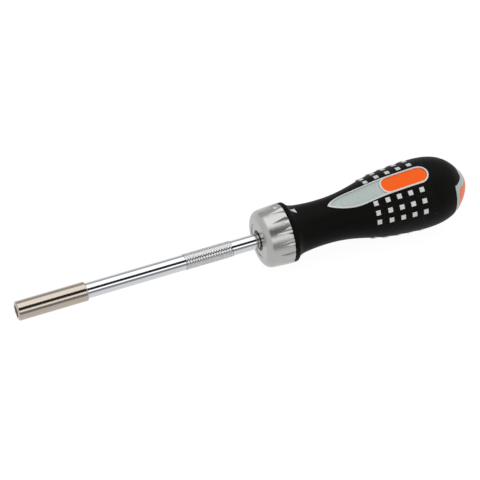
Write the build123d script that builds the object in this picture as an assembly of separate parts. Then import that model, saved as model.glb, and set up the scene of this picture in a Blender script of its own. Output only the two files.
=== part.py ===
"""Ratcheting bit screwdriver, lying with its axis along +X and the inlay up (+Z).

The origin is the centre of the bit socket's mouth. Sizes are in millimetres and degrees.
"""

from build123d import *
import math
import os

os.makedirs("parts", exist_ok=True)

# Driving sizes
overrun = 2.0
fit_gap = 0.02
running_gap = 0.05
part_gap = 0.3

bit_across_flats = 6.35
bit_length = 25.0
bit_count = 6

holder_diameter = 10.0
holder_length = 36.5
shank_diameter = 8.0
rear_shank_diameter = 7.8
knurl_diameter = 8.2
knurl_start = 89.0
knurl_length = 25.5

collar_front = 129.6
collar_length = 14.4
collar_front_diameter = 30.6
collar_rear_diameter = 32.2

handle_length = 102.7
grip_wall = 1.7
flange_diameter = 31.6
waist_diameter = 23.6
belly_diameter = 37.3
butt_diameter = 31.6

# Places along the axis that several pieces share
collar_rear = collar_front + collar_length
handle_front = collar_rear + part_gap
handle_end = handle_front + handle_length


def rod(x_start, x_end, radius):
    """A round bar along the axis."""
    bar = Cylinder(radius, x_end - x_start, align=(Align.CENTER, Align.CENTER, Align.MIN))
    return Pos(x_start, 0, 0) * Rot(0, 90, 0) * bar


def tube(x_start, x_end, outer_radius, inner_radius):
    """A round bar with a bore through it."""
    return rod(x_start, x_end, outer_radius) - rod(x_start - overrun, x_end + overrun, inner_radius)


def prism(sketch, x_start, x_end):
    """A section drawn across the axis (first direction +Y, second +Z), drawn out along it."""
    return extrude(Plane.YZ.offset(x_start) * sketch, amount=x_end - x_start)


def hex_bar(x_start, x_end, across_flats, turn=0.0):
    """A hexagonal bar along the axis, with a flat on top when turn is zero."""
    circumradius = across_flats / math.sqrt(3)
    return prism(Rot(0, 0, turn) * RegularPolygon(circumradius, 6), x_start, x_end)


def around(shape, angle):
    """The same shape turned about the tool's axis."""
    return Rotation(angle, 0, 0) * shape


def several(shapes):
    """Separate solids that make one piece."""
    return Compound(children=[solid for shape in shapes for solid in shape.solids()])


def save(shape, name):
    """Writes a piece as its closed solids."""
    solids = shape.solids()
    export_step(solids[0] if len(solids) == 1 else several(solids), f"parts/{name}.step")


# Bit holder: a sleeve with a hexagonal socket, a groove for the bit clip and a seat for the magnet
socket_clearance = 0.10
socket_depth = 14.0
magnet_diameter = 5.8
magnet_length = 3.0
holder_web = 3.0
holder_front_bevel = 0.6
holder_rear_bevel = 0.8
clip_place = 6.5
clip_wire = 0.7
clip_mouth_radius = 3.12
clip_split = 1.6

clip_outer_radius = clip_mouth_radius + clip_wire
magnet_seat_end = socket_depth + magnet_length
shank_front = magnet_seat_end + holder_web


def make_bit_holder():
    body = rod(0, holder_length, holder_diameter / 2)
    ends = body.edges().filter_by(GeomType.CIRCLE).sort_by(Axis.X)
    body = chamfer(ends[0], holder_front_bevel)
    ends = body.edges().filter_by(GeomType.CIRCLE).sort_by(Axis.X)
    body = fillet(ends[-1], holder_rear_bevel)
    body -= hex_bar(-overrun, socket_depth, bit_across_flats + socket_clearance)
    body -= rod(socket_depth - fit_gap, magnet_seat_end + fit_gap, magnet_diameter / 2 + fit_gap)
    groove_half = clip_wire / 2 + running_gap
    body -= rod(clip_place - groove_half, clip_place + groove_half, clip_outer_radius + running_gap)
    body -= rod(shank_front, holder_length + overrun, shank_diameter / 2 + fit_gap)
    return body


def make_socket_magnet():
    return rod(socket_depth, magnet_seat_end, magnet_diameter / 2)


def make_bit_clip():
    start, end = clip_place - clip_wire / 2, clip_place + clip_wire / 2
    ring = tube(start, end, clip_outer_radius, clip_mouth_radius)
    gap = Pos(clip_place, 0, clip_outer_radius) * Box(holder_diameter, clip_split, 2 * clip_outer_radius)
    return ring - gap


# Shank: plain rod, a knurled band for the fingertips, then journals inside the ratchet
shank_bevel = 0.3
front_journal_diameter = 6.0
gear_hex_flats = 4.8
rear_journal_diameter = 4.4
plate_thickness = 1.6
plate_clearance = 0.2
boss_reach = 0.2
gear_space = 9.6
rear_bush_length = 8.0
washer_thickness = 0.4
gear_end_play = 0.1
gear_clip_thickness = 0.6
gear_clip_groove_diameter = 3.6
gear_clip_diameter = 6.8

shank_shoulder = collar_front
counterbore_depth = 1.1
collar_lip = 0.75
plate_front = collar_front + counterbore_depth + collar_lip + plate_clearance
plate_rear = plate_front + plate_thickness
gear_space_end = plate_rear + gear_space
shank_end = gear_space_end + rear_bush_length
gear_front = plate_rear + washer_thickness + gear_end_play
gear_clip_rear = gear_space_end - washer_thickness - gear_end_play
gear_rear = gear_clip_rear - gear_clip_thickness


def make_shank():
    body = rod(shank_front + fit_gap, knurl_start, shank_diameter / 2)
    knurl_end = knurl_start + knurl_length
    band = rod(knurl_start, knurl_end, knurl_diameter / 2)
    edge = (knurl_diameter - rear_shank_diameter) / 2
    rims = band.edges().filter_by(GeomType.CIRCLE)
    body += chamfer(rims, edge)
    body += rod(knurl_end, shank_shoulder, rear_shank_diameter / 2)
    body += rod(shank_shoulder, gear_front, front_journal_diameter / 2)
    body += hex_bar(gear_front, gear_space_end, gear_hex_flats)
    body += rod(gear_space_end, shank_end, rear_journal_diameter / 2)
    slot_radius = gear_clip_groove_diameter / 2
    body -= tube(gear_rear, gear_clip_rear, gear_hex_flats, slot_radius)
    tip = body.edges().filter_by(GeomType.CIRCLE).sort_by(Axis.X)[-1]
    return chamfer(tip, shank_bevel)


# Ratchet gear: straight-sided teeth that both pawls can enter
gear_teeth = 24
gear_tip_diameter = 12.8
gear_root_diameter = 10.6
gear_land = 0.36
gear_root_flat = 0.62


def make_ratchet_gear():
    tip, root = gear_tip_diameter / 2, gear_root_diameter / 2
    pitch = 2 * math.pi / gear_teeth
    land_half, floor_half = gear_land / 2 / tip, gear_root_flat / 2 / root
    outline = []
    for tooth in range(gear_teeth):
        gap = tooth * pitch
        corners = (
            (root, gap + floor_half),
            (tip, gap + pitch / 2 - land_half),
            (tip, gap + pitch / 2 + land_half),
            (root, gap + pitch - floor_half),
        )
        for radius, turn in corners:
            outline.append((radius * math.cos(turn), radius * math.sin(turn)))
    body = prism(make_face(Polyline(*outline, close=True)), gear_front, gear_rear)
    return body - hex_bar(gear_front - overrun, gear_rear + overrun, gear_hex_flats + 2 * fit_gap)


def make_gear_clip():
    outer = gear_clip_diameter / 2
    ring = tube(gear_rear + fit_gap, gear_clip_rear, outer, gear_clip_groove_diameter / 2 + fit_gap)
    mouth = Pos(gear_rear, 0, -outer) * Box(overrun, gear_clip_groove_diameter, 2 * outer)
    return ring - mouth


def make_thrust_washers():
    outer = gear_root_diameter / 2 - part_gap
    inner = front_journal_diameter / 2 + running_gap
    front = tube(plate_rear + running_gap, plate_rear + washer_thickness, outer, inner)
    rear = tube(gear_space_end - washer_thickness, gear_space_end - running_gap, outer, inner)
    return several([front, rear])


# Pawls: two mirrored levers, one for each direction, on pins beside the gear
pawl_pin_diameter = 1.6
pawl_pivot_across = 5.4
pawl_pivot_height = 7.4
pawl_tip_height = 5.97
pawl_tip_width = 0.24
pawl_nose_angle = 20.0
pawl_nose_height = 1.1
pawl_arm_thickness = 1.9
pawl_boss_radius = 1.5
pawl_tail_length = 3.0
pawl_end_gap = 0.3
pawl_pocket_gap = 0.9
pawl_pin_set = 0.6
pawl_heel = 0.5


def pawl_outline():
    """The upper pawl's section: nose over the gear, boss round the pin, tail towards the cam."""
    half_tip = pawl_tip_width / 2
    half_nose = half_tip + pawl_nose_height * math.tan(math.radians(pawl_nose_angle))
    under = pawl_tip_height + pawl_nose_height
    over = under + pawl_arm_thickness
    tail = pawl_pivot_across + pawl_tail_length
    lever = make_face(Polyline(
        (-half_tip, pawl_tip_height),
        (half_tip, pawl_tip_height),
        (half_nose, under),
        (tail, under),
        (tail, over - pawl_heel),
        (pawl_pivot_across, over),
        (-half_nose + pawl_heel, over),
        (-half_nose - pawl_heel, over - pawl_heel),
        (-half_nose, under),
        close=True,
    ))
    return lever + pawl_pin_place() * Circle(pawl_boss_radius)


def pawl_pin_place():
    return Pos(pawl_pivot_across, pawl_pivot_height)


def make_pawl(side):
    """side is +1 for the upper pawl and -1 for its mirror image below the gear."""
    hole = pawl_pin_place() * Circle(pawl_pin_diameter / 2 + running_gap)
    body = prism(pawl_outline() - hole, plate_rear + pawl_end_gap, gear_space_end - pawl_end_gap)
    return body if side > 0 else mirror(body, Plane.XY)


def make_pawl_pins():
    section = pawl_pin_place() * Circle(pawl_pin_diameter / 2)
    pin = prism(section, plate_rear - pawl_pin_set, gear_space_end + pawl_pin_set)
    return several([pin, mirror(pin, Plane.XY)])


def pawl_pin_holes():
    """Holes for both pins, past the housing's floor and into the front plate."""
    section = pawl_pin_place() * Circle(pawl_pin_diameter / 2 + fit_gap)
    hole = prism(section, plate_rear - pawl_pin_set - fit_gap, gear_space_end + pawl_pin_set + fit_gap)
    return hole + mirror(hole, Plane.XY)


# Pawl springs: bowed strips between each pawl's back and the pocket's roof
spring_strip = 0.22
spring_half_span = 2.0
spring_width = 4.0


def make_pawl_spring(side):
    low = pawl_tip_height + pawl_nose_height + pawl_arm_thickness + running_gap
    ends = low + pawl_pocket_gap - spring_strip - 2 * running_gap
    centre = pawl_pivot_across / 2 - pawl_heel
    left, right = centre - spring_half_span, centre + spring_half_span
    back = low + spring_strip
    inside = ThreePointArc((left, ends), (centre, low), (right, ends))
    outside = ThreePointArc((right, ends + spring_strip), (centre, back), (left, ends + spring_strip))
    strip = make_face(inside + Line(inside @ 1, outside @ 0) + outside + Line(outside @ 1, inside @ 0))
    middle = (plate_rear + gear_space_end) / 2
    body = prism(strip, middle - spring_width / 2, middle + spring_width / 2)
    return body if side > 0 else mirror(body, Plane.XY)


# Ratchet housing: pockets for gear and pawls under the collar, and a hexagonal spigot in the handle
housing_diameter = 23.9
housing_floor = 1.4
gear_bore_gap = 0.5
spigot_flats = 14.0
spigot_end = 167.0
detent_pocket_depth = 2.3
detent_pocket_half = 5.0
detent_pocket_length = 5.0
bolt_diameter = 4.0
bolt_reach = 11.0
rear_bush_diameter = 7.2
plate_screw_diameter = 2.0
plate_screw_circle = 9.7
plate_screw_length = 5.0
plate_screw_turns = (0.0, 137.0, 223.0)

housing_rear = gear_space_end + housing_floor


def plate_screw_places():
    for turn in plate_screw_turns:
        angle = math.radians(turn)
        yield plate_screw_circle * math.cos(angle), plate_screw_circle * math.sin(angle)


def make_ratchet_housing():
    body = rod(plate_rear, housing_rear, housing_diameter / 2)
    body += hex_bar(housing_rear, spigot_end, spigot_flats)
    body -= rod(plate_rear - overrun, gear_space_end, gear_tip_diameter / 2 + gear_bore_gap)
    pocket = prism(offset(pawl_outline(), pawl_pocket_gap), plate_rear - overrun, gear_space_end)
    body -= pocket
    body -= mirror(pocket, Plane.XY)
    body -= rod(gear_space_end - overrun, shank_end + part_gap, rear_bush_diameter / 2 + fit_gap)
    body -= pawl_pin_holes()
    screw_hole_end = plate_front + plate_screw_length + fit_gap
    for across, height in plate_screw_places():
        screw_hole = rod(plate_front, screw_hole_end, plate_screw_diameter / 2 + fit_gap)
        body -= Pos(0, across, height) * screw_hole
    pocket = Box(detent_pocket_length, 2 * detent_pocket_depth, 2 * detent_pocket_half)
    body -= Pos((plate_rear + gear_space_end) / 2, -housing_diameter / 2, 0) * pocket
    return body - rod(spigot_end - bolt_reach, spigot_end + overrun, bolt_diameter / 2 + fit_gap)


# Front plate: closes the gear pocket, and its boss carries the front bush and the collar's circlip
boss_diameter = 9.6
front_bush_diameter = 8.0
plate_diameter = 23.8
circlip_thickness = 0.6
circlip_groove_depth = 0.3
circlip_diameter = 10.7
circlip_split = 2.4
circlip_gap = 0.1
screw_head_diameter = 3.6
screw_head_height = 1.0
screw_slot_width = 0.5
screw_slot_depth = 0.4

boss_front = collar_front + boss_reach
circlip_rear = collar_front + counterbore_depth - circlip_gap
circlip_front = circlip_rear - circlip_thickness


def make_front_plate():
    body = rod(plate_front, plate_rear, plate_diameter / 2) + rod(boss_front, plate_front, boss_diameter / 2)
    body -= rod(boss_front - overrun, plate_rear + overrun, front_bush_diameter / 2 + fit_gap)
    groove_radius = boss_diameter / 2 - circlip_groove_depth
    body -= tube(circlip_front - fit_gap, circlip_rear + fit_gap, boss_diameter, groove_radius)
    for across, height in plate_screw_places():
        body -= Pos(0, across, height) * rod(plate_front, plate_rear, plate_screw_diameter / 2 + fit_gap)
        body -= Pos(0, across, height) * screw_head(fit_gap)
    return body - pawl_pin_holes()


def screw_head(grow):
    """A countersunk head, its flat flush with the plate's front."""
    cone = Cone(screw_head_diameter / 2 + grow, plate_screw_diameter / 2 + grow, screw_head_height,
                align=(Align.CENTER, Align.CENTER, Align.MIN))
    return Pos(plate_front, 0, 0) * Rot(0, 90, 0) * cone


def make_plate_screws():
    screw = screw_head(0) + rod(plate_front, plate_front + plate_screw_length, plate_screw_diameter / 2)
    screw -= Pos(plate_front, 0, 0) * Box(2 * screw_slot_depth, screw_slot_width, 2 * screw_head_diameter)
    return several(Pos(0, across, height) * screw for across, height in plate_screw_places())


def make_front_bush():
    return tube(boss_front, plate_rear, front_bush_diameter / 2, front_journal_diameter / 2 + running_gap)


def make_rear_bush():
    return tube(gear_space_end, shank_end, rear_bush_diameter / 2, rear_journal_diameter / 2 + running_gap)


def make_collar_circlip():
    inner = boss_diameter / 2 - circlip_groove_depth + fit_gap
    ring = tube(circlip_front, circlip_rear, circlip_diameter / 2, inner)
    split = Pos(circlip_front, 0, -circlip_diameter / 2) * Box(overrun, circlip_split, circlip_diameter)
    return ring - split


# Selector collar: a silver cup over the ratchet, fluted on the outside
collar_hole_diameter = 11.0
collar_lip_diameter = 9.76
collar_corner = 4.2
collar_rear_round = 0.5
cam_outer_diameter = 26.4
cam_step = 1.2
rib_count = 16
rib_radius = 5.0
crease_depth = 0.7
rib_turn = 18.75
face_recess_diameter = 18.0
face_recess_depth = 0.25

collar_lip_rear = collar_front + counterbore_depth + collar_lip


def make_selector_collar():
    front, rear = collar_front_diameter / 2, collar_rear_diameter / 2
    shoulder = collar_front + collar_corner
    corner = 1 - math.sqrt(0.5)
    outline = Plane.XZ * make_face(
        Line((collar_front, 0), (collar_front, front - collar_corner))
        + ThreePointArc((collar_front, front - collar_corner),
                        (collar_front + corner * collar_corner, front - corner * collar_corner),
                        (shoulder, front))
        + Line((shoulder, front), (collar_rear, rear))
        + Line((collar_rear, rear), (collar_rear, 0))
        + Line((collar_rear, 0), (collar_front, 0))
    )
    body = revolve(outline, Axis.X)
    body = fillet(body.edges().filter_by(GeomType.CIRCLE).sort_by(Axis.X)[-1], collar_rear_round)
    body -= rod(collar_front - overrun, collar_rear, collar_lip_diameter / 2)
    body -= rod(collar_front - overrun, collar_front + counterbore_depth, collar_hole_diameter / 2)
    body -= rod(collar_front - overrun, collar_front + face_recess_depth, face_recess_diameter / 2)
    body -= rod(collar_lip_rear, collar_rear + overrun, plate_diameter / 2 + part_gap)
    body -= rod(collar_lip_rear + cam_step, collar_rear + overrun, cam_outer_diameter / 2 + fit_gap)
    body -= mark_block()
    return body & prism(rib_outline(), collar_front, collar_rear)


def rib_outline():
    """The fluted section: equal round ribs that meet in creases."""
    half_pitch = math.pi / rib_count
    crest = collar_rear_diameter / 2
    section = Circle(crest - crease_depth - rib_radius / 2)
    for rib in range(rib_count):
        turn = math.radians(rib_turn) + 2 * rib * half_pitch
        place = crest - rib_radius
        section += Pos(place * math.cos(turn), place * math.sin(turn)) * Circle(rib_radius)
    return section


# Selector mark: a small triangle let into one rib, pointing at the handle
mark_length = 2.6
mark_half_width = 1.1
mark_rear_gap = 1.7
mark_turn = 26.25
mark_depth = 0.35
mark_rise = 0.08


def mark_block():
    """The mark's triangle, drawn up through the collar's wall."""
    rear = collar_rear - mark_rear_gap
    triangle = make_face(Polyline(
        (rear, 0),
        (rear - mark_length, mark_half_width),
        (rear - mark_length, -mark_half_width),
        close=True,
    ))
    low = collar_rear_diameter / 2 - mark_depth
    block = extrude(Plane.XY.offset(low) * triangle, amount=mark_depth + mark_rise)
    return around(block, -mark_turn)


def make_selector_mark():
    return mark_block()


# Cam ring: pressed in the collar, with notches for the detent and hollows over the pawls' tails
cam_inner_diameter = 24.1
cam_front_gap = 0.1
cam_rear_gap = 1.2
notch_depth = 0.7
notch_width = 1.9
notch_turn = 20.0
cam_hollow_depth = 0.45
cam_hollow_half_turn = 24.0
cam_hollow_turn = 41.0


def make_cam_ring():
    start, end = collar_lip_rear + cam_step + cam_front_gap, collar_rear - cam_rear_gap
    body = tube(start, end, cam_outer_diameter / 2, cam_inner_diameter / 2)
    notch_place = cam_inner_diameter / 2 + notch_depth - notch_width / 2
    for step in (-1, 0, 1):
        cutter = Pos(0, -notch_place, 0) * rod(start - overrun, end + overrun, notch_width / 2)
        body -= around(cutter, step * notch_turn)
    for side in (-1, 1):
        body -= cam_hollow(side * cam_hollow_turn, start - overrun, end + overrun)
    return body


def cam_hollow(turn, start, end):
    """A shallow hollow in the cam ring's bore that lets a pawl's tail rise."""
    radius = cam_inner_diameter / 2 + cam_hollow_depth
    wedge = make_face(Polyline(
        (0, 0),
        (2 * radius, 2 * radius * math.tan(math.radians(cam_hollow_half_turn))),
        (2 * radius, -2 * radius * math.tan(math.radians(cam_hollow_half_turn))),
        close=True,
    ))
    return around(prism(wedge & Circle(radius), start, end), turn)


# Detent spring: a strip with a bump that clicks into the cam ring's notches
detent_strip = 0.35
detent_bump_height = 2.55
detent_bump_half = 0.9
detent_foot_half = 4.6
detent_width = 4.4


def make_detent_spring():
    floor = -(housing_diameter / 2 - detent_pocket_depth)
    peak = floor - detent_bump_height + running_gap
    slope = (floor + peak) / 2
    inner = [(floor - running_gap, detent_foot_half), (slope, detent_bump_half), (peak + detent_strip, 0),
             (slope, -detent_bump_half), (floor - running_gap, -detent_foot_half)]
    outer = [(across - detent_strip, height) for across, height in reversed(inner)]
    middle = (plate_rear + gear_space_end) / 2
    strip = make_face(Polyline(*inner, *outer, close=True))
    return prism(strip, middle - detent_width / 2, middle + detent_width / 2)


# Handle: the outer surface that grip, core, inlays and butt share, as radii at stations
flange_width = 2.2
flange_round = 0.7
flare_step, flare_diameter = 4.2, 27.6
neck_step, neck_diameter = 9.6, 24.7
waist_step = 16.6
throat_step, throat_diameter = 30.5, 24.6
shoulder_step, shoulder_diameter = 43.0, 29.5
chest_step, chest_diameter = 52.0, 33.6
palm_step, palm_diameter = 62.0, 35.8
belly_step = 75.0
tail_step, tail_diameter = 85.5, 35.4
butt_step = 91.0
butt_slope = 0.36
dome_reach = 3.4
dome_crown = 6.4
dome_flat = 0.8

butt_face = handle_front + butt_step


def envelope(grow):
    """The handle's whole outside as one solid of revolution, grown outwards by grow."""
    stations = (
        (flare_step, flare_diameter),
        (neck_step, neck_diameter),
        (waist_step, waist_diameter),
        (throat_step, throat_diameter),
        (shoulder_step, shoulder_diameter),
        (chest_step, chest_diameter),
        (palm_step, palm_diameter),
        (belly_step, belly_diameter),
        (tail_step, tail_diameter),
        (butt_step, butt_diameter),
    )
    flange_back = handle_front + flange_width
    flange = flange_diameter / 2 + grow
    rim = butt_diameter / 2 + grow
    points = [(handle_front + step, diameter / 2 + grow) for step, diameter in stations]
    side = Spline((flange_back, flange), *points)
    dome = Bezier(
        (butt_face, rim),
        (butt_face + dome_reach, rim - dome_reach * butt_slope),
        (handle_end + grow, dome_crown),
        (handle_end + grow, dome_flat),
    )
    outline = make_face(
        Polyline((handle_front, 0), (handle_front, flange), (flange_back, flange))
        + side
        + dome
        + Polyline((handle_end + grow, dome_flat), (handle_end + grow, 0), (handle_front, 0))
    )
    body = revolve(Plane.XZ * outline, Axis.X)
    corners = body.edges().filter_by(GeomType.CIRCLE).sort_by(Axis.X)[:2]
    return fillet(corners, flange_round)


def handle_radius(x):
    """The outer radius at a place along the handle, read from the same surface."""
    ray = Edge.make_line((x, 0, 0), (x, 0, belly_diameter))
    hits = [vertex.Z for edge in (ray & envelope_shell).edges() for vertex in edge.vertices()]
    return max(hits)


envelope_shell = envelope(0)

# Squares: studs of the core that come up through windows in the grip
square_side = 2.5
square_rise = 0.25
square_root = 2.6
square_pitch = 6.25
square_columns = 5
square_middle = 203.6
square_turns = (-18.5, 0.0, 18.5)
quarter_turns = (45.0, 135.0, 225.0, 315.0)


def square_studs(side):
    """Every stud as a block that stands on the core, side wide."""
    blocks = []
    for column in range(square_columns):
        x = square_middle + (column - (square_columns - 1) / 2) * square_pitch
        top = handle_radius(x) + square_rise
        for quarter in quarter_turns:
            for turn in square_turns:
                block = Pos(x, 0, top - square_root / 2) * Box(side, side, square_root)
                blocks.append(around(block, quarter + turn - 90))
    return blocks


# Pointer: a small triangle of the core, seen through the grip beside the collar
pointer_front = 147.2
pointer_length = 3.4
pointer_half_width = 1.7
pointer_turn = 15.0


def pointer_block(low, high):
    """The pointer's triangle, between two heights above the axis."""
    triangle = make_face(Polyline(
        (pointer_front, 0),
        (pointer_front + pointer_length, pointer_half_width),
        (pointer_front + pointer_length, -pointer_half_width),
        close=True,
    ))
    return around(extrude(Plane.XY.offset(low) * triangle, amount=high - low), -pointer_turn)


# Inlay: a blade-shaped frame of the core on top of the handle, holding a grey and an orange panel
inlay_tip = 167.5
inlay_end = 222.9
inlay_half_width = 5.25
inlay_tip_shift = 0.9
upper_cheek, upper_lead = 14.5, 9.4
lower_cheek, lower_lead = 18.5, 8.0
nose_reach, nose_spread = 1.2, 1.8
inlay_rim = 0.8
inlay_rim_rise = 0.3
nose_draw_share = 2.0
orange_length = 25.2
panel_gap = 0.06
pocket_depth = 1.1
orange_sink = 0.3
grey_sink = 0.25
inlay_floor = 5.0

inlay_round_centre = inlay_end - inlay_half_width
orange_half_width = inlay_half_width - inlay_rim
orange_front_centre = inlay_round_centre + 2 * orange_half_width - orange_length


def inlay_outline(inset):
    """The whole inlay's outline in plan, drawn in by inset: a blade in front, a round end behind."""
    half = inlay_half_width - inset
    tip = inlay_tip + inset * nose_draw_share
    upper_turn, lower_turn = inlay_tip + upper_cheek, inlay_tip + lower_cheek
    upper = Bezier(
        (tip, inlay_tip_shift),
        (tip + nose_reach, inlay_tip_shift + nose_spread),
        (upper_turn - upper_lead, half),
        (upper_turn, half),
    )
    lower = Bezier(
        (lower_turn, -half),
        (lower_turn - lower_lead, -half),
        (tip + nose_reach, inlay_tip_shift - nose_spread),
        (tip, inlay_tip_shift),
    )
    rear = inlay_round_centre
    end = ThreePointArc((rear, half), (rear + half, 0), (rear, -half))
    return make_face(upper + Line(upper @ 1, end @ 0) + end + Line(end @ 1, lower @ 0) + lower)


def orange_outline(inset):
    """The orange panel's stadium, drawn in by inset."""
    half = orange_half_width - inset
    front, rear = orange_front_centre, inlay_round_centre
    rear_end = ThreePointArc((rear, half), (rear + half, 0), (rear, -half))
    front_end = ThreePointArc((front, -half), (front - half, 0), (front, half))
    lower, upper = Line(rear_end @ 1, front_end @ 0), Line(front_end @ 1, rear_end @ 0)
    return make_face(rear_end + lower + front_end + upper)


def grey_outline(inset):
    """The grey panel: the blade in front of the orange panel and its rim."""
    length = inlay_end - orange_front_centre
    behind = Pos(orange_front_centre + length / 2, 0) * Rectangle(length, 2 * inlay_half_width)
    return inlay_outline(inlay_rim + inset) - orange_outline(-inlay_rim - inset) - behind


def upright(sketch):
    """A plan outline drawn up through the top of the handle."""
    return extrude(Plane.XY.offset(inlay_floor) * sketch, amount=belly_diameter)


def make_inlay(outline, sink):
    return (upright(outline) & envelope(-sink)) - envelope(-pocket_depth)


# Core: the hard body inside the grip, bored for the spigot, the bolt and the bit magazine
bay_diameter = 22.0
bay_front = 188.5
bulkhead = 6.0
bolt_chamber_diameter = 10.4
bolt_hole_clearance = 0.15
stop_ring_seat = 2.0
stop_ring_place = 232.6
stop_ring_bore = 21.4
stop_ring_outer = 23.4

bulkhead_rear = spigot_end + bulkhead


def make_handle_core():
    body = envelope(-grip_wall) & rod(handle_front, butt_face, belly_diameter)
    frame = upright(inlay_outline(0)) & envelope(inlay_rim_rise)
    body += frame & rod(handle_front, butt_face, belly_diameter)
    body += pointer_block(waist_diameter / 2 - overrun, flange_diameter / 2) & envelope(running_gap)
    body += square_studs(square_side)
    pockets = upright(orange_outline(0)) + upright(grey_outline(0))
    body -= pockets - envelope(-pocket_depth)
    body -= hex_bar(handle_front - overrun, spigot_end + fit_gap, spigot_flats + 2 * fit_gap)
    body -= rod(spigot_end - overrun, bay_front, bolt_diameter / 2 + bolt_hole_clearance)
    body -= rod(bulkhead_rear, bay_front + overrun, bolt_chamber_diameter / 2)
    body -= rod(bay_front, butt_face + overrun, bay_diameter / 2)
    return body - rod(stop_ring_place, stop_ring_place + stop_ring_seat, stop_ring_outer / 2 + fit_gap)


# Grip: the soft overmould, with windows for the core's studs and frame, and tongues over the butt
tongue_gap = 10.2
tongue_curve = 20.0


def tongue_shapes(grow):
    """Two round bars, above and below, that outline the butt's tongues; grow widens them."""
    offset_up = tongue_gap + tongue_curve
    circle = Circle(tongue_curve + grow)
    bars = (Pos(0, offset_up) * circle) + (Pos(0, -offset_up) * circle)
    bars -= Circle(bay_diameter / 2 + fit_gap - grow)
    return prism(bars, butt_face - overrun, handle_end + overrun)


def make_grip():
    front = envelope_shell & rod(handle_front, butt_face, belly_diameter)
    behind = envelope_shell & rod(butt_face, handle_end + overrun, belly_diameter)
    body = front + (behind & tongue_shapes(0))
    core = envelope(-grip_wall) & rod(handle_front - overrun, butt_face, belly_diameter)
    body -= core
    body -= upright(inlay_outline(-fit_gap))
    body -= pointer_block(waist_diameter / 2 - overrun, flange_diameter)
    return body - square_studs(square_side + 2 * fit_gap)


def make_stop_ring():
    start, end = stop_ring_place + fit_gap, stop_ring_place + stop_ring_seat - fit_gap
    return tube(start, end, stop_ring_outer / 2, stop_ring_bore / 2)


# Bolt that holds the ratchet housing in the core
bolt_head_diameter = 7.0
bolt_head_height = 2.6
bolt_socket_flats = 2.5
bolt_socket_depth = 1.4
bolt_end_gap = 1.0
bolt_washer_diameter = 9.0
bolt_washer_thickness = 0.8


def make_handle_bolt():
    seat = bulkhead_rear + bolt_washer_thickness
    head_end = seat + bolt_head_height
    body = rod(spigot_end - bolt_reach + bolt_end_gap, seat, bolt_diameter / 2)
    body += rod(seat, head_end, bolt_head_diameter / 2)
    return body - hex_bar(head_end - bolt_socket_depth, head_end + overrun, bolt_socket_flats)


def make_bolt_washer():
    return tube(bulkhead_rear, bulkhead_rear + bolt_washer_thickness, bolt_washer_diameter / 2,
                bolt_diameter / 2 + bolt_hole_clearance)


# Bit magazine: a piston with a sealing ring, and a drum with six open channels for the bits
piston_front = 190.0
piston_length = 7.0
piston_diameter = 21.7
ring_place = 193.4
ring_wire = 1.8
ring_groove_gap = 0.1
drum_neck_diameter = 12.0
drum_front = 203.2
drum_wall = 2.0
drum_rear_wall = 2.0
drum_diameter = 21.2
channel_circle = 7.1
channel_clearance = 0.15
bit_end_play = 0.6
cap_boss_length = 2.8

channel_start = drum_front + drum_wall
channel_end = channel_start + bit_length + bit_end_play
drum_end = butt_face + cap_boss_length
ring_centre_radius = bay_diameter / 2 - running_gap - ring_wire / 2


def make_magazine_drum():
    body = rod(piston_front, piston_front + piston_length, piston_diameter / 2)
    groove = ring_wire / 2 + ring_groove_gap
    body -= tube(ring_place - groove, ring_place + groove, bay_diameter, ring_centre_radius - groove)
    body += rod(piston_front + piston_length, drum_front, drum_neck_diameter / 2)
    body += rod(drum_front, drum_end, drum_diameter / 2)
    flats = bit_across_flats + channel_clearance
    mouth = flats / math.cos(math.radians(30))
    hexagon = Pos(channel_circle, 0) * Rot(0, 0, 30) * RegularPolygon(flats / math.sqrt(3), 6)
    way_out = Pos(channel_circle + drum_diameter / 4, 0) * Rectangle(drum_diameter / 2, mouth)
    channel = prism(hexagon + way_out, channel_start, channel_end)
    for bit in range(bit_count):
        body -= around(channel, bit * 360 / bit_count)
    return body


def make_magazine_o_ring():
    return Pos(ring_place, 0, 0) * Rot(0, 90, 0) * Torus(ring_centre_radius, ring_wire / 2)


# Butt cap: the grey end of the magazine, cut away for the grip's tongues, with an orange insert
cap_sink = 0.25
insert_diameter = 28.2
insert_curve = 14.0
insert_gap = 5.3
insert_corner = 1.6
insert_thickness = 1.5
insert_proud = 0.15


def make_butt_cap():
    start = butt_face + part_gap
    body = envelope(-cap_sink) & rod(start, handle_end + overrun, belly_diameter)
    body -= tongue_shapes(part_gap)
    body -= insert_space(fit_gap) - envelope(-cap_sink - insert_thickness)
    return body - rod(start - overrun, drum_end + fit_gap, drum_diameter / 2 + fit_gap)


def insert_space(grow):
    """The insert's outline drawn out along the axis: a disc hollowed above and below."""
    outline = Circle(insert_diameter / 2 + grow)
    offset_up = insert_gap + insert_curve
    for side in (-1, 1):
        outline -= Pos(0, side * offset_up) * Circle(insert_curve - grow)
    outline = fillet(outline.vertices(), insert_corner + grow)
    return prism(outline, butt_face, handle_end + overrun)


def make_cap_insert():
    floor = envelope(-cap_sink - insert_thickness + fit_gap)
    return (insert_space(0) & envelope(insert_proud - cap_sink)) - floor


# Bits: hexagonal shanks with six different tips
bit_hex_gap = 0.02
bit_shank_share = 0.6
bit_bevel = 0.4
bit_neck_diameter = 4.8
cross_small, cross_large = 3.8, 4.6
cross_wing_width = 1.0
cross_point_share = 0.25
star_small, star_large = 3.3, 3.9
star_groove_share = 0.125
star_lobes = 6
slot_tip_width, slot_tip_thickness = 5.5, 1.0
tip_share = 0.28


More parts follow.
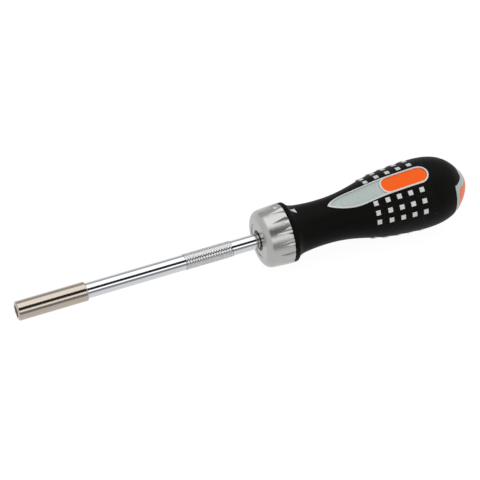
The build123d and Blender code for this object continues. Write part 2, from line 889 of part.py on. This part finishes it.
def bit_blank(tip_diameter, end_diameter):
    """A hexagonal shank, a turned neck and a plain conical tip."""
    shank = bit_length * bit_shank_share
    tip_start = bit_length * (1 - tip_share)
    body = hex_bar(0, shank, bit_across_flats - 2 * bit_hex_gap)
    body &= Pos(bit_bevel, 0, 0) * Sphere(bit_length)
    body += rod(shank, tip_start, bit_neck_diameter / 2)
    cone = Cone(tip_diameter / 2, end_diameter / 2, bit_length - tip_start,
                align=(Align.CENTER, Align.CENTER, Align.MIN))
    return body + Pos(tip_start, 0, 0) * Rot(0, 90, 0) * cone


def tip_span():
    """Where a tip's cutters start, and how long they are."""
    start = bit_length * (1 - tip_share) + bit_bevel
    return start, bit_length + overrun - start


def cross_bit(diameter):
    """A crosshead tip: a cone with its four corners cut away."""
    body = bit_blank(diameter, diameter * cross_point_share)
    start, length = tip_span()
    inset = (cross_wing_width + diameter) / 2
    corner = Pos(start + length / 2, inset, inset) * Box(length, diameter, diameter)
    for quarter in quarter_turns:
        body -= around(corner, quarter)
    return body


def star_bit(diameter):
    """A six-lobed tip: a short bar with six round grooves."""
    body = bit_blank(diameter + bit_bevel, diameter)
    start, length = tip_span()
    groove_radius = diameter * star_groove_share
    groove = Pos(0, (diameter + groove_radius) / 2, 0) * rod(start, start + length, groove_radius)
    for lobe in range(star_lobes):
        body -= around(groove, lobe * 360 / star_lobes)
    return body


def slot_bit():
    """A flat tip."""
    body = bit_blank(bit_neck_diameter, slot_tip_width)
    start, length = tip_span()
    for side in (-1, 1):
        height = side * (slot_tip_thickness + slot_tip_width) / 2
        body -= Pos(start + length / 2, 0, height) * Box(length, 2 * slot_tip_width, slot_tip_width)
    return body


def stow(bit, place):
    """A bit in its channel of the drum, turned so that a flat faces the hub."""
    x = channel_start + bit_end_play / 2
    return around(Pos(x, channel_circle, 0) * Rotation(90, 0, 0) * bit, place * 360 / bit_count)


pieces = {
    "bit_holder": make_bit_holder,
    "socket_magnet": make_socket_magnet,
    "bit_clip": make_bit_clip,
    "shank": make_shank,
    "ratchet_gear": make_ratchet_gear,
    "gear_clip": make_gear_clip,
    "thrust_washers": make_thrust_washers,
    "pawl_upper": lambda: make_pawl(1),
    "pawl_lower": lambda: make_pawl(-1),
    "pawl_pins": make_pawl_pins,
    "pawl_spring_upper": lambda: make_pawl_spring(1),
    "pawl_spring_lower": lambda: make_pawl_spring(-1),
    "ratchet_housing": make_ratchet_housing,
    "front_plate": make_front_plate,
    "plate_screws": make_plate_screws,
    "front_bush": make_front_bush,
    "rear_bush": make_rear_bush,
    "collar_circlip": make_collar_circlip,
    "selector_collar": make_selector_collar,
    "selector_mark": make_selector_mark,
    "cam_ring": make_cam_ring,
    "detent_spring": make_detent_spring,
    "handle_core": make_handle_core,
    "grip": make_grip,
    "orange_inlay": lambda: make_inlay(orange_outline(panel_gap), orange_sink),
    "grey_inlay": lambda: make_inlay(grey_outline(panel_gap), grey_sink),
    "stop_ring": make_stop_ring,
    "handle_bolt": make_handle_bolt,
    "bolt_washer": make_bolt_washer,
    "magazine_drum": make_magazine_drum,
    "magazine_o_ring": make_magazine_o_ring,
    "butt_cap": make_butt_cap,
    "cap_insert": make_cap_insert,
    "bit_ph1": lambda: stow(cross_bit(cross_small), 0),
    "bit_ph2": lambda: stow(cross_bit(cross_large), 1),
    "bit_pz2": lambda: stow(cross_bit(cross_large), 2),
    "bit_t15": lambda: stow(star_bit(star_small), 3),
    "bit_t20": lambda: stow(star_bit(star_large), 4),
    "bit_slot": lambda: stow(slot_bit(), 5),
}

for name, make in pieces.items():
    save(make(), name)
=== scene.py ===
import math

import bmesh
import bpy
from mathutils import Matrix, Vector


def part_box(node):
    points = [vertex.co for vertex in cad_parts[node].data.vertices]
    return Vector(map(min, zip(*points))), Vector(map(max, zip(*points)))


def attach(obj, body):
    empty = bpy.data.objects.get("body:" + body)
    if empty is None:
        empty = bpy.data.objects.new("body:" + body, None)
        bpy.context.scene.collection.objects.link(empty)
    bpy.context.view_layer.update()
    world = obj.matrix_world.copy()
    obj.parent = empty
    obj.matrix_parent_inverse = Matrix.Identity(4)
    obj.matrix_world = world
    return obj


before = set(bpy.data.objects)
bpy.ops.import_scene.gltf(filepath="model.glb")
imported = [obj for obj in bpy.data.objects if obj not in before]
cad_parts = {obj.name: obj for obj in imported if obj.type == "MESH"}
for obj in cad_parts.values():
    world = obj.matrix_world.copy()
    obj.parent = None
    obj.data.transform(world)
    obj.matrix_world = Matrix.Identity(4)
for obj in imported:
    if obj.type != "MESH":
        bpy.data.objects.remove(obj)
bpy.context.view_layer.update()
bpy.ops.object.select_all(action="DESELECT")


def linear(code):
    """The linear colour of an sRGB hex code such as "#C4C5C5"."""
    parts = [int(code[i:i + 2], 16) / 255 for i in (1, 3, 5)]
    return [p / 12.92 if p <= 0.04045 else ((p + 0.055) / 1.055) ** 2.4 for p in parts] + [1.0]


def add(finish, kind, values=(), links=()):
    """Adds a node, sets its properties and sockets, and links sockets of earlier nodes to it."""
    tree = finish.node_tree
    made = tree.nodes.new(kind)
    for name, value in dict(values).items():
        if isinstance(name, int) or name in made.inputs:
            made.inputs[name].default_value = value
        else:
            setattr(made, name, value)
    for name, socket in dict(links).items():
        tree.links.new(socket, made.inputs[name])
    return made


def material(name):
    """An empty node material."""
    made = bpy.data.materials.new(name)
    made.use_nodes = True
    made.node_tree.nodes.clear()
    return made


def surface(made, values, links):
    """Ends a material with its shader and its output."""
    shader = add(made, "ShaderNodeBsdfPrincipled", values, links)
    add(made, "ShaderNodeOutputMaterial", {}, {"Surface": shader.outputs[0]})


def dress(finish, *names):
    """Gives CAD pieces their finish."""
    for name in names:
        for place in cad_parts[name].material_slots:
            place.material = finish


# Shank: an 8 mm steel rod, ground and chrome plated. Chrome gives sharp bright bands with thin
# dark lines between them, and only a breath of unevenness from the grinding under it.
chrome = material("chrome_plate_on_ground_steel")
place = add(chrome, "ShaderNodeTexCoord")
stretch = add(chrome, "ShaderNodeMapping", {"Scale": (30.0, 900.0, 900.0)},
              {"Vector": place.outputs["Object"]})
grind = add(chrome, "ShaderNodeTexNoise", {"Scale": 1.0, "Detail": 3.0},
            {"Vector": stretch.outputs[0]})
gloss = add(chrome, "ShaderNodeMapRange", {"To Min": 0.05, "To Max": 0.1},
            {"Value": grind.outputs[0]})
surface(chrome, {"Base Color": linear("#C8CACD"), "Metallic": 1.0},
        {"Roughness": gloss.outputs[0]})
dress(chrome, "shank")

# Knurled band: a diamond knurl rolled into the shank for the fingertips, then chrome plated, with
# painted shade darkening its valleys and painted highlight lightening its peaks. Real diamonds are
# about 1 mm apart; these are 1.4 mm, as coarse as they need to be to show in the picture.
knurl_painted_light = material("chrome_knurl_painted_shade_and_highlight")
place = add(knurl_painted_light, "ShaderNodeTexCoord")
across = add(knurl_painted_light, "ShaderNodeVectorMath", {"operation": "MULTIPLY", 1: (0.0, 1.0, 1.0)},
             {0: place.outputs["Object"]})
height = add(knurl_painted_light, "ShaderNodeVectorMath", {"operation": "LENGTH"}, {0: across.outputs[0]})
# Painted shade in the valleys and painted highlight on the peaks: the colour runs from dark at the root
# radius to light at the tip radius.
painted_valley_shade_to_peak_highlight = add(knurl_painted_light, "ShaderNodeMapRange", {"From Min": 0.00409, "From Max": 0.00417},
           {"Value": height.outputs["Value"]})
tint = add(knurl_painted_light, "ShaderNodeMix", {"data_type": "RGBA", 6: linear("#2C2C2E"), 7: linear("#F4F4F0")},
           {0: painted_valley_shade_to_peak_highlight.outputs[0]})
surface(knurl_painted_light, {"Metallic": 0.7, "Roughness": 0.45}, {"Base Color": tint.outputs[2]})
knurl_start, knurl_end = 0.089, 0.1145
knurl_wall = 0.0004
knurl_root, knurl_tip = 0.00407, 0.0042
diamonds_round, diamonds_long = 18, 18
bpy.ops.mesh.primitive_cylinder_add(
    vertices=2 * diamonds_round, radius=knurl_root, depth=knurl_end - knurl_start,
    end_fill_type="NOTHING", location=((knurl_start + knurl_end) / 2, 0, 0),
    rotation=(0, math.pi / 2, 0))
knurl = bpy.context.object
knurl.name = "knurled_band"
bpy.ops.object.transform_apply(location=True, rotation=True, scale=True)
bpy.ops.object.mode_set(mode="EDIT")
bpy.ops.mesh.select_all(action="DESELECT")
bpy.ops.mesh.select_mode(type="EDGE")
mesh = bmesh.from_edit_mesh(knurl.data)
for edge in mesh.edges:
    edge.select_set(abs(edge.verts[0].co.x - edge.verts[1].co.x) > (knurl_end - knurl_start) / 2)
bmesh.update_edit_mesh(knurl.data)
bpy.ops.mesh.subdivide(number_cuts=2 * diamonds_long - 1)
bpy.ops.mesh.select_all(action="DESELECT")
bpy.ops.mesh.select_mode(type="VERT")
mesh = bmesh.from_edit_mesh(knurl.data)
row_length = (knurl_end - knurl_start) / (2 * diamonds_long)
for point in mesh.verts:
    row = round((point.co.x - knurl_start) / row_length)
    column = round(math.atan2(point.co.z, point.co.y) / math.pi * diamonds_round)
    inner_row = 0 < row < 2 * diamonds_long
    point.select_set(inner_row and (row + column) % 2 == 0)
bmesh.update_edit_mesh(knurl.data)
bpy.ops.transform.resize(value=(1, knurl_tip / knurl_root, knurl_tip / knurl_root),
                         center_override=(0, 0, 0))
bpy.ops.mesh.select_all(action="SELECT")
bpy.ops.mesh.quads_convert_to_tris(quad_method="SHORTEST_DIAGONAL")
bpy.ops.mesh.select_all(action="DESELECT")
mesh = bmesh.from_edit_mesh(knurl.data)
for point in mesh.verts:
    point.select_set(min(point.co.x - knurl_start, knurl_end - point.co.x) < row_length / 2)
mesh.select_flush(True)
bmesh.update_edit_mesh(knurl.data)
bpy.ops.object.mode_set(mode="OBJECT")
bpy.ops.object.modifier_add(type="SOLIDIFY")
knurl.modifiers[-1].thickness = knurl_wall
knurl.modifiers[-1].offset = -1
bpy.ops.object.modifier_apply(modifier=knurl.modifiers[-1].name)
knurl.data.materials.append(knurl_painted_light)
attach(knurl, "spindle")
bpy.ops.object.select_all(action="DESELECT")

# Bit holder: a turned steel sleeve pressed on the shank, nickel plated and polished. Nickel is
# warmer and darker than chrome, and fine turning rings stay under the plate. The hexagonal socket
# is broached afterwards, so its walls are bare steel. They are also coloured pale and mostly
# non-metallic as painted light, so the hole shows light instead of its shade.
nickel = material("polished_nickel_plate")
place = add(nickel, "ShaderNodeTexCoord")
stretch = add(nickel, "ShaderNodeMapping", {"Scale": (5000.0, 60.0, 60.0)},
              {"Vector": place.outputs["Object"]})
rings = add(nickel, "ShaderNodeTexNoise", {"Scale": 1.0, "Detail": 2.0},
            {"Vector": stretch.outputs[0]})
bump = add(nickel, "ShaderNodeBump", {"Strength": 0.15, "Distance": 0.00001},
           {"Height": rings.outputs[0]})
gloss = add(nickel, "ShaderNodeMapRange", {"To Min": 0.1, "To Max": 0.18},
            {"Value": rings.outputs[0]})
across = add(nickel, "ShaderNodeVectorMath", {"operation": "MULTIPLY", 1: (0.0, 1.0, 1.0)},
             {0: place.outputs["Object"]})
radius = add(nickel, "ShaderNodeVectorMath", {"operation": "LENGTH"}, {0: across.outputs[0]})
# Inside this radius the socket walls take a pale, mostly non-metallic colour as painted light, so the hole
# reads light instead of shaded.
socket_reach = 0.0041
outside_painted_socket_light = add(nickel, "ShaderNodeMath", {"operation": "GREATER_THAN", 1: socket_reach},
              {0: radius.outputs["Value"]})
tint = add(nickel, "ShaderNodeMix", {"data_type": "RGBA", 6: linear("#D9C8BC"), 7: linear("#AFA59B")},
           {0: outside_painted_socket_light.outputs[0]})
plated = add(nickel, "ShaderNodeMapRange", {"To Min": 0.3, "To Max": 1.0},
             {"Value": outside_painted_socket_light.outputs[0]})
surface(nickel, {}, {"Base Color": tint.outputs[2], "Metallic": plated.outputs[0],
                     "Roughness": gloss.outputs[0], "Normal": bump.outputs[0]})
dress(nickel, "bit_holder")

# Magnet and clip inside the holder: a nickel-plated disc magnet, and a spring steel ring, blued
# by its heat treatment, that catches the bit's notch.
plate = material("nickel_plated_magnet")
place = add(plate, "ShaderNodeTexCoord")
grain = add(plate, "ShaderNodeTexNoise", {"Scale": 900.0, "Detail": 2.0},
            {"Vector": place.outputs["Object"]})
gloss = add(plate, "ShaderNodeMapRange", {"To Min": 0.15, "To Max": 0.3},
            {"Value": grain.outputs[0]})
surface(plate, {"Base Color": linear("#C9C6C0"), "Metallic": 1.0}, {"Roughness": gloss.outputs[0]})
dress(plate, "socket_magnet")
spring = material("tempered_spring_steel")
place = add(spring, "ShaderNodeTexCoord")
drawn = add(spring, "ShaderNodeTexNoise", {"Scale": 1500.0, "Detail": 3.0},
            {"Vector": place.outputs["Object"]})
tint = add(spring, "ShaderNodeMix", {"data_type": "RGBA", 6: linear("#6E7076"), 7: linear("#8A8B8F")},
           {0: drawn.outputs[0]})
surface(spring, {"Metallic": 1.0, "Roughness": 0.32}, {"Base Color": tint.outputs[2]})
dress(spring, "bit_clip", "pawl_spring_upper", "pawl_spring_lower", "detent_spring")

# Ratchet parts on the spindle and in the housing: hardened steel gear, pawls, pins, washers and
# screws, machined and lightly oiled, so they are grey with a fine directionless grain.
steel = material("hardened_machined_steel")
place = add(steel, "ShaderNodeTexCoord")
grain = add(steel, "ShaderNodeTexNoise", {"Scale": 2500.0, "Detail": 4.0},
            {"Vector": place.outputs["Object"]})
tint = add(steel, "ShaderNodeMix", {"data_type": "RGBA", 6: linear("#8C8E90"), 7: linear("#A6A7A8")},
           {0: grain.outputs[0]})
bump = add(steel, "ShaderNodeBump", {"Strength": 0.2, "Distance": 0.00001},
           {"Height": grain.outputs[0]})
surface(steel, {"Metallic": 1.0, "Roughness": 0.3},
        {"Base Color": tint.outputs[2], "Normal": bump.outputs[0]})
dress(steel, "ratchet_gear", "thrust_washers", "pawl_upper", "pawl_lower", "pawl_pins",
      "plate_screws", "handle_bolt", "bolt_washer", "stop_ring")

# Ratchet housing: die-cast zinc, with the grainy dull skin of a casting.
zinc = material("die_cast_zinc")
place = add(zinc, "ShaderNodeTexCoord")
skin = add(zinc, "ShaderNodeTexNoise", {"Scale": 1200.0, "Detail": 5.0},
           {"Vector": place.outputs["Object"]})
tint = add(zinc, "ShaderNodeMix", {"data_type": "RGBA", 6: linear("#9C9EA0"), 7: linear("#B4B6B8")},
           {0: skin.outputs[0]})
bump = add(zinc, "ShaderNodeBump", {"Strength": 0.5, "Distance": 0.00002},
           {"Height": skin.outputs[0]})
surface(zinc, {"Metallic": 1.0, "Roughness": 0.48},
        {"Base Color": tint.outputs[2], "Normal": bump.outputs[0]})
dress(zinc, "ratchet_housing")

# Bushes: sintered bronze, porous and oily.
bronze = material("sintered_bronze")
place = add(bronze, "ShaderNodeTexCoord")
pores = add(bronze, "ShaderNodeTexNoise", {"Scale": 4000.0, "Detail": 2.0},
            {"Vector": place.outputs["Object"]})
tint = add(bronze, "ShaderNodeMix", {"data_type": "RGBA", 6: linear("#8A6638"), 7: linear("#B48A52")},
           {0: pores.outputs[0]})
surface(bronze, {"Metallic": 1.0, "Roughness": 0.42}, {"Base Color": tint.outputs[2]})
dress(bronze, "front_bush", "rear_bush")

# Circlips and front plate: steel with black oxide, dull and nearly black in the collar's hole.
oxide = material("black_oxide_steel")
place = add(oxide, "ShaderNodeTexCoord")
bloom = add(oxide, "ShaderNodeTexNoise", {"Scale": 800.0, "Detail": 3.0},
            {"Vector": place.outputs["Object"]})
tint = add(oxide, "ShaderNodeMix", {"data_type": "RGBA", 6: linear("#121212"), 7: linear("#1E1E20")},
           {0: bloom.outputs[0]})
surface(oxide, {"Metallic": 0.0, "Roughness": 0.45, "Specular IOR Level": 0.3},
        {"Base Color": tint.outputs[2]})
dress(oxide, "collar_circlip", "gear_clip", "front_plate")

# Selector collar: a ribbed zinc ring with a satin silver finish. The fine flake in the lacquer
# breaks reflections into soft bands, so the ribs read as gentle light and grey stripes.
silver = material("satin_silver_lacquer")
place = add(silver, "ShaderNodeTexCoord")
flake = add(silver, "ShaderNodeTexNoise", {"Scale": 6000.0, "Detail": 2.0},
            {"Vector": place.outputs["Object"]})
tint = add(silver, "ShaderNodeMix", {"data_type": "RGBA", 6: linear("#A6A6A4"), 7: linear("#B4B4B1")},
           {0: flake.outputs[0]})
bump = add(silver, "ShaderNodeBump", {"Strength": 0.12, "Distance": 0.00001},
           {"Height": flake.outputs[0]})
surface(silver, {"Metallic": 0.9, "Roughness": 0.27},
        {"Base Color": tint.outputs[2], "Normal": bump.outputs[0]})
dress(silver, "selector_collar")

# Selector mark: a small triangle moulded proud of the collar, with its top rubbed brighter.
bright = material("rubbed_silver_lacquer")
place = add(bright, "ShaderNodeTexCoord")
flake = add(bright, "ShaderNodeTexNoise", {"Scale": 6000.0, "Detail": 2.0},
            {"Vector": place.outputs["Object"]})
tint = add(bright, "ShaderNodeMix", {"data_type": "RGBA", 6: linear("#D8D8D6"), 7: linear("#E6E6E4")},
           {0: flake.outputs[0]})
surface(bright, {"Metallic": 0.2, "Roughness": 0.4}, {"Base Color": tint.outputs[2]})
dress(bright, "selector_mark")

# Cam ring inside the collar: acetal, a dense slippery plastic with a waxy low gloss.
acetal = material("moulded_acetal")
place = add(acetal, "ShaderNodeTexCoord")
flow = add(acetal, "ShaderNodeTexNoise", {"Scale": 400.0, "Detail": 3.0},
           {"Vector": place.outputs["Object"]})
tint = add(acetal, "ShaderNodeMix", {"data_type": "RGBA", 6: linear("#303033"), 7: linear("#3A3A3D")},
           {0: flow.outputs[0]})
surface(acetal, {"Roughness": 0.45, "IOR": 1.48}, {"Base Color": tint.outputs[2]})
dress(acetal, "cam_ring")

# Handle core: glass-filled nylon, moulded in light grey. It shows as the squares, the pointer
# and the raised rim, with a fine spark-eroded grain and a satin gloss.
nylon = material("glass_filled_nylon_grey")
place = add(nylon, "ShaderNodeTexCoord")
grain = add(nylon, "ShaderNodeTexNoise", {"Scale": 3000.0, "Detail": 3.0},
            {"Vector": place.outputs["Object"]})
tint = add(nylon, "ShaderNodeMix", {"data_type": "RGBA", 6: linear("#CDD0CE"), 7: linear("#D9DBD9")},
           {0: grain.outputs[0]})
bump = add(nylon, "ShaderNodeBump", {"Strength": 0.25, "Distance": 0.00002},
           {"Height": grain.outputs[0]})
surface(nylon, {"Roughness": 0.4, "IOR": 1.53},
        {"Base Color": tint.outputs[2], "Normal": bump.outputs[0]})
dress(nylon, "handle_core")

# Grip: thermoplastic rubber moulded over the core. It is matte black, and between the squares
# the mould leaves rows of tiny pips, about 1 mm apart. They are raised by a bump, and coloured
# lighter as a painted highlight where they catch the light.
rubber = material("overmoulded_black_rubber")
place = add(rubber, "ShaderNodeTexCoord")
grain = add(rubber, "ShaderNodeTexNoise", {"Scale": 2500.0, "Detail": 4.0},
            {"Vector": place.outputs["Object"]})
cells = add(rubber, "ShaderNodeTexVoronoi", {"Scale": 1000.0, "Randomness": 0.6},
            {"Vector": place.outputs["Object"]})
pips = add(rubber, "ShaderNodeMapRange", {"From Min": 0.36, "From Max": 0.2},
           {"Value": cells.outputs["Distance"]})
axes = add(rubber, "ShaderNodeSeparateXYZ", {}, {"Vector": place.outputs["Object"]})
after = add(rubber, "ShaderNodeMapRange", {"From Min": 0.188, "From Max": 0.191},
            {"Value": axes.outputs["X"]})
before = add(rubber, "ShaderNodeMapRange", {"From Min": 0.2235, "From Max": 0.2225},
             {"Value": axes.outputs["X"]})
zone = add(rubber, "ShaderNodeMath", {"operation": "MULTIPLY"}, {0: after.outputs[0], 1: before.outputs[0]})
pip_relief_and_painted_highlight = add(rubber, "ShaderNodeMath", {"operation": "MULTIPLY"}, {0: pips.outputs[0], 1: zone.outputs[0]})
# Painted highlight: the pips are coloured lighter than the rubber around them, besides their bump.
tint = add(rubber, "ShaderNodeMix", {"data_type": "RGBA", 6: linear("#0B0A09"), 7: linear("#22201F")},
           {0: pip_relief_and_painted_highlight.outputs[0]})
fine = add(rubber, "ShaderNodeBump", {"Strength": 0.3, "Distance": 0.00003},
           {"Height": grain.outputs[0]})
bump = add(rubber, "ShaderNodeBump", {"Strength": 0.6, "Distance": 0.0001},
           {"Height": pip_relief_and_painted_highlight.outputs[0], "Normal": fine.outputs[0]})
surface(rubber, {"Roughness": 0.5, "Specular IOR Level": 0.05},
        {"Base Color": tint.outputs[2], "Normal": bump.outputs[0]})
dress(rubber, "grip")

# Panels on top of the handle: two moulded inserts snapped into the rim. The grey one has a fine
# stipple all over, and the orange one is smooth and evenly coloured.
stipple = material("stippled_grey_abs")
place = add(stipple, "ShaderNodeTexCoord")
cells = add(stipple, "ShaderNodeTexVoronoi", {"Scale": 1800.0, "Randomness": 0.5},
            {"Vector": place.outputs["Object"]})
tint = add(stipple, "ShaderNodeMix", {"data_type": "RGBA", 6: linear("#BCC8C4"), 7: linear("#9FADA9")},
           {0: cells.outputs["Distance"]})
bump = add(stipple, "ShaderNodeBump", {"Strength": 0.5, "Distance": 0.00008},
           {"Height": cells.outputs["Distance"]})
surface(stipple, {"Roughness": 0.45}, {"Base Color": tint.outputs[2], "Normal": bump.outputs[0]})
dress(stipple, "grey_inlay")
orange = material("moulded_orange_abs")
place = add(orange, "ShaderNodeTexCoord")
flow = add(orange, "ShaderNodeTexNoise", {"Scale": 300.0, "Detail": 3.0},
           {"Vector": place.outputs["Object"]})
tint = add(orange, "ShaderNodeMix", {"data_type": "RGBA", 6: linear("#FF5E00"), 7: linear("#FF6600")},
           {0: flow.outputs[0]})
bump = add(orange, "ShaderNodeBump", {"Strength": 0.1, "Distance": 0.00004},
           {"Height": flow.outputs[0]})
surface(orange, {"Roughness": 0.5, "Specular IOR Level": 0.12},
        {"Base Color": tint.outputs[2], "Normal": bump.outputs[0]})
dress(orange, "orange_inlay")

# Bit magazine: a black ABS drum with a rubber sealing ring, which slides out of the butt.
drum = material("moulded_black_abs")
place = add(drum, "ShaderNodeTexCoord")
flow = add(drum, "ShaderNodeTexNoise", {"Scale": 500.0, "Detail": 3.0},
           {"Vector": place.outputs["Object"]})
tint = add(drum, "ShaderNodeMix", {"data_type": "RGBA", 6: linear("#161616"), 7: linear("#202021")},
           {0: flow.outputs[0]})
surface(drum, {"Roughness": 0.42}, {"Base Color": tint.outputs[2]})
dress(drum, "magazine_drum")
seal = material("nitrile_rubber")
place = add(seal, "ShaderNodeTexCoord")
bloom = add(seal, "ShaderNodeTexNoise", {"Scale": 900.0, "Detail": 2.0},
            {"Vector": place.outputs["Object"]})
gloss = add(seal, "ShaderNodeMapRange", {"To Min": 0.5, "To Max": 0.65},
            {"Value": bloom.outputs[0]})
surface(seal, {"Base Color": linear("#0B0B0B")}, {"Roughness": gloss.outputs[0]})
dress(seal, "magazine_o_ring")

# Butt cap: grey ABS, with an orange disc moulded into it that follows the domed end.
cap = material("moulded_grey_abs")
place = add(cap, "ShaderNodeTexCoord")
flow = add(cap, "ShaderNodeTexNoise", {"Scale": 600.0, "Detail": 3.0},
           {"Vector": place.outputs["Object"]})
tint = add(cap, "ShaderNodeMix", {"data_type": "RGBA", 6: linear("#ABB3B3"), 7: linear("#B6BDBD")},
           {0: flow.outputs[0]})
surface(cap, {"Roughness": 0.4}, {"Base Color": tint.outputs[2]})
dress(cap, "butt_cap")
disc = material("moulded_orange_disc")
place = add(disc, "ShaderNodeTexCoord")
flow = add(disc, "ShaderNodeTexNoise", {"Scale": 400.0, "Detail": 3.0},
           {"Vector": place.outputs["Object"]})
tint = add(disc, "ShaderNodeMix", {"data_type": "RGBA", 6: linear("#F06E34"), 7: linear("#F5793F")},
           {0: flow.outputs[0]})
surface(disc, {"Roughness": 0.42}, {"Base Color": tint.outputs[2]})
dress(disc, "cap_insert")

# Bits in the magazine: forged tool steel, shot blasted to an even dull grey.
blasted = material("shot_blasted_tool_steel")
place = add(blasted, "ShaderNodeTexCoord")
pits = add(blasted, "ShaderNodeTexNoise", {"Scale": 5000.0, "Detail": 3.0},
           {"Vector": place.outputs["Object"]})
tint = add(blasted, "ShaderNodeMix", {"data_type": "RGBA", 6: linear("#7E7E7C"), 7: linear("#979795")},
           {0: pits.outputs[0]})
bump = add(blasted, "ShaderNodeBump", {"Strength": 0.4, "Distance": 0.00002},
           {"Height": pits.outputs[0]})
surface(blasted, {"Metallic": 1.0, "Roughness": 0.45},
        {"Base Color": tint.outputs[2], "Normal": bump.outputs[0]})
dress(blasted, "bit_ph1", "bit_ph2", "bit_pz2", "bit_t15", "bit_t20", "bit_slot")

# Floor: a plain pale tabletop that the handle's belly rests on. Part of its white is its own for
# the camera and for reflections, which keeps it pale and still lets the object's shadow show.
white = material("pale_tabletop")
rays = add(white, "ShaderNodeLightPath")
seen = add(white, "ShaderNodeMath", {"operation": "MAXIMUM"},
           {0: rays.outputs["Is Camera Ray"], 1: rays.outputs["Is Glossy Ray"]})
shown = add(white, "ShaderNodeMath", {"operation": "MAXIMUM"},
            {0: seen.outputs[0], 1: rays.outputs["Is Transmission Ray"]})
share = add(white, "ShaderNodeMath", {"operation": "MULTIPLY", 1: 0.85}, {0: shown.outputs[0]})
matte = add(white, "ShaderNodeBsdfDiffuse", {"Color": linear("#EBEBEB")})
glow = add(white, "ShaderNodeEmission", {"Color": linear("#FFFFFF"), "Strength": 1.1})
both = add(white, "ShaderNodeMixShader", {}, {0: share.outputs[0], 1: matte.outputs[0], 2: glow.outputs[0]})
add(white, "ShaderNodeOutputMaterial", {}, {"Surface": both.outputs[0]})
belly_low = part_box("grip")[0].z
floor_width, tool_middle = 6.0, 0.12
bpy.ops.mesh.primitive_plane_add(size=floor_width, location=(tool_middle, 0, belly_low))
floor = bpy.context.object
floor.name = "tabletop"
bpy.ops.object.transform_apply(location=True, rotation=True, scale=True)
floor.data.materials.append(white)

# Studio: a wide softbox over the far side of the tool and a narrow one low on the near side, both
# parallel to the shank. They light the matte surfaces.
aim = Vector((tool_middle, 0, 0))
reach = 0.7
forward = 0.28 * reach
length = 1.0
for name, middle, spread, level in (("far_softbox", 72, 84, 1.15), ("near_softbox", 137, 40, 1.3)):
    width = 2 * reach * math.tan(math.radians(spread) / 2)
    bpy.ops.object.light_add(type="AREA")
    box = bpy.context.object
    box.name = name
    box.data.shape = "RECTANGLE"
    box.data.size = length
    box.data.size_y = width
    box.data.energy = math.pi * width * length * level
    box.visible_camera = False
    box.visible_glossy = False
    turn = math.radians(middle)
    spot = aim + Vector((forward, reach * math.cos(turn), reach * math.sin(turn)))
    box.matrix_world = Matrix.Translation(spot) @ Matrix.Rotation(turn - math.pi / 2, 4, "X")

# Cards: bright, dark and grey strips along the tool, as photographers use for metal. Only its
# reflections see them, and they draw the shank's white bands and the dark line between them.
for name, middle, spread, shade in (
        ("grey_card_far", 12, 48, 0.6), ("bright_card_far", 64, 56, 1.8), ("dark_card", 109, 34, 0.03),
        ("bright_card_near", 136, 20, 1.8), ("grey_card_near", 161, 30, 0.35)):
    finish = material(name)
    light = add(finish, "ShaderNodeEmission", {"Color": linear("#FFFFFF"), "Strength": shade})
    add(finish, "ShaderNodeOutputMaterial", {}, {"Surface": light.outputs[0]})
    turn = math.radians(middle)
    width = 2 * reach * math.tan(math.radians(spread) / 2)
    bpy.ops.mesh.primitive_plane_add(size=length)
    card = bpy.context.object
    card.name = name
    spot = aim + Vector((forward, reach * math.cos(turn), reach * math.sin(turn)))
    card.data.transform(Matrix.Translation(spot) @ Matrix.Rotation(turn - math.pi / 2, 4, "X")
                        @ Matrix.Diagonal((1.0, width / length, 1.0, 1.0)))
    card.data.materials.append(finish)
    card.visible_camera = False
    card.visible_diffuse = False
    card.visible_shadow = False

# Room: even white all round for the camera and for reflections, and a dim fill for the rest.
world = bpy.data.worlds.new("studio_room")
bpy.context.scene.world = world
world.use_nodes = True
world.node_tree.nodes.clear()
rays = add(world, "ShaderNodeLightPath")
seen = add(world, "ShaderNodeMath", {"operation": "MAXIMUM"},
           {0: rays.outputs["Is Camera Ray"], 1: rays.outputs["Is Glossy Ray"]})
shown = add(world, "ShaderNodeMath", {"operation": "MAXIMUM"},
            {0: seen.outputs[0], 1: rays.outputs["Is Transmission Ray"]})
level = add(world, "ShaderNodeMapRange", {"To Min": 0.18, "To Max": 1.0},
            {"Value": shown.outputs[0]})
sky = add(world, "ShaderNodeBackground", {"Color": linear("#FFFFFF")}, {"Strength": level.outputs[0]})
add(world, "ShaderNodeOutputWorld", {}, {"Surface": sky.outputs[0]})

# Camera: a metre away on a long lens, above the near side and turned a little about its own line
# of sight, as the picture was taken.
azimuth, elevation, roll = math.radians(-28.23), math.radians(55.39), math.radians(7.55)
target = Vector((0.11915, 0, 0.00556))
distance = 1.0163
turned = (Matrix.Rotation(azimuth, 4, "Z") @ Matrix.Rotation(math.pi / 2 - elevation, 4, "X")
          @ Matrix.Rotation(roll, 4, "Z"))
bpy.ops.object.camera_add()
camera = bpy.context.object
camera.data.lens = 150.0
camera.data.sensor_width = 36.0
camera.matrix_world = Matrix.Translation(target + distance * turned.col[2].to_3d()) @ turned
bpy.context.scene.camera = camera
bpy.context.scene.view_settings.view_transform = "Standard"
